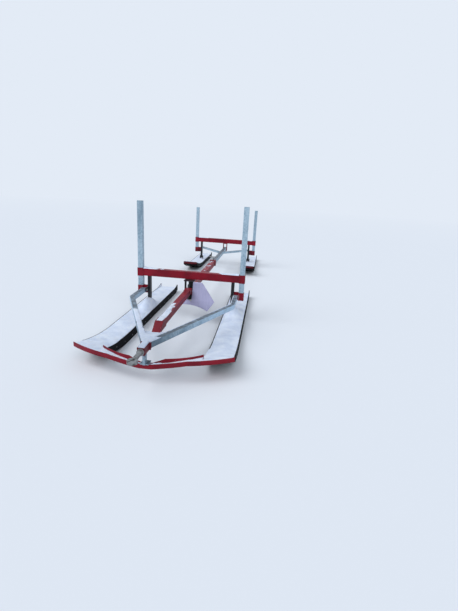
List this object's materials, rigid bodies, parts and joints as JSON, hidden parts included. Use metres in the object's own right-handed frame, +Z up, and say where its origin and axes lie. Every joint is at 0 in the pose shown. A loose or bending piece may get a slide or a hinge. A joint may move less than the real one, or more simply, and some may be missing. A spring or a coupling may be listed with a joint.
{
  "type": "towed steel timber sledge",
  "caption": "Towed timber sledge: a front and a rear ski sledge under two stake bunks, joined by a telescopic pole, with a wishbone drawbar.",
  "frame": {"origin": "on the ground, at the centre of the overall box", "axes": "+X to the right seen from the front, +Y towards the rear along the pole, +Z up"},
  "size_m": [1.114, 5.262, 1.086],
  "materials": {
    "ski_plastic": "black polyethylene, slid smooth below, frosted above",
    "red_paint": "red enamel over steel, scuffed at the edges",
    "black_paint": "black enamel over steel, worn",
    "galvanised_steel": "hot-dip galvanised, dull spangle",
    "pin_steel": "turned steel, greased and worn",
    "deflector_sheet": "pale zinc sheet, matt"
  },
  "bodies": {
    "front_sledge": {"front_ski_pan_left": "red_paint", "front_ski_pan_right": "red_paint", "front_ski_shell_left": "ski_plastic", "front_ski_shell_right": "ski_plastic", "nose_crossbar": "red_paint", "front_ski_brackets": "black_paint", "front_post_left": "black_paint", "front_post_right": "black_paint", "front_hanger": "black_paint", "kingpin": "pin_steel", "drawbar_pins": "pin_steel", "snow_deflector": "deflector_sheet", "front_bunk_beam": "red_paint", "front_stake_shoes": "red_paint", "front_stake_left": "galvanised_steel", "front_stake_right": "galvanised_steel"},
    "drawbar": {"drawbar_arm_left": "galvanised_steel", "drawbar_arm_right": "galvanised_steel", "drawbar_gusset": "red_paint", "centre_beam": "red_paint", "centre_beam_sleeve": "red_paint", "coupler_block": "red_paint", "tow_eye": "pin_steel", "drawbar_rest_strut": "galvanised_steel"},
    "pole_yoke": {"pole_yoke": "black_paint", "pole_pitch_pin": "pin_steel"},
    "pole": {"pole_outer_tube": "red_paint", "pole_clamp_collar": "red_paint", "pole_clamp_screw": "pin_steel"},
    "rear_sledge": {"pole_inner_tube": "galvanised_steel", "rear_saddle": "red_paint", "rear_post_left": "black_paint", "rear_post_right": "black_paint", "rear_stay_left": "galvanised_steel", "rear_stay_right": "galvanised_steel", "rear_bunk_beam": "red_paint", "rear_stake_shoes": "red_paint", "rear_stake_left": "galvanised_steel", "rear_stake_right": "galvanised_steel", "rear_ski_pins": "pin_steel"},
    "rear_ski_left": {"rear_ski_pan_left": "red_paint", "rear_ski_shell_left": "ski_plastic", "rear_ski_bracket_left": "black_paint"},
    "rear_ski_right": {"rear_ski_pan_right": "red_paint", "rear_ski_shell_right": "ski_plastic", "rear_ski_bracket_right": "black_paint"}
  },
  "joints": [
    {"name": "drawbar_pitch", "type": "hinge", "parent": "front_sledge", "child": "drawbar", "pos_m": [0, -1.089, 0.25], "axis": [-1, 0, 0], "range_deg": [0, 40]},
    {"name": "pole_yaw", "type": "hinge", "parent": "front_sledge", "child": "pole_yoke", "pos_m": [0, -0.999, 0.25], "axis": [0, 0, 1], "range_deg": [-25, 25]},
    {"name": "pole_pitch", "type": "hinge", "parent": "pole_yoke", "child": "pole", "pos_m": [0, -0.914, 0.2803], "axis": [1, 0, 0], "range_deg": [-8, 8]},
    {"name": "wheelbase_slide", "type": "slide", "parent": "pole", "child": "rear_sledge", "axis": [0, 1, 0], "range_m": [-0.5, 0.5]},
    {"name": "rear_ski_rock_left", "type": "hinge", "parent": "rear_sledge", "child": "rear_ski_left", "pos_m": [-0.415, 1.881, 0.115], "axis": [1, 0, 0], "range_deg": [-12, 12]},
    {"name": "rear_ski_rock_right", "type": "hinge", "parent": "rear_sledge", "child": "rear_ski_right", "pos_m": [0.415, 1.881, 0.115], "axis": [1, 0, 0], "range_deg": [-12, 12]}
  ]
}
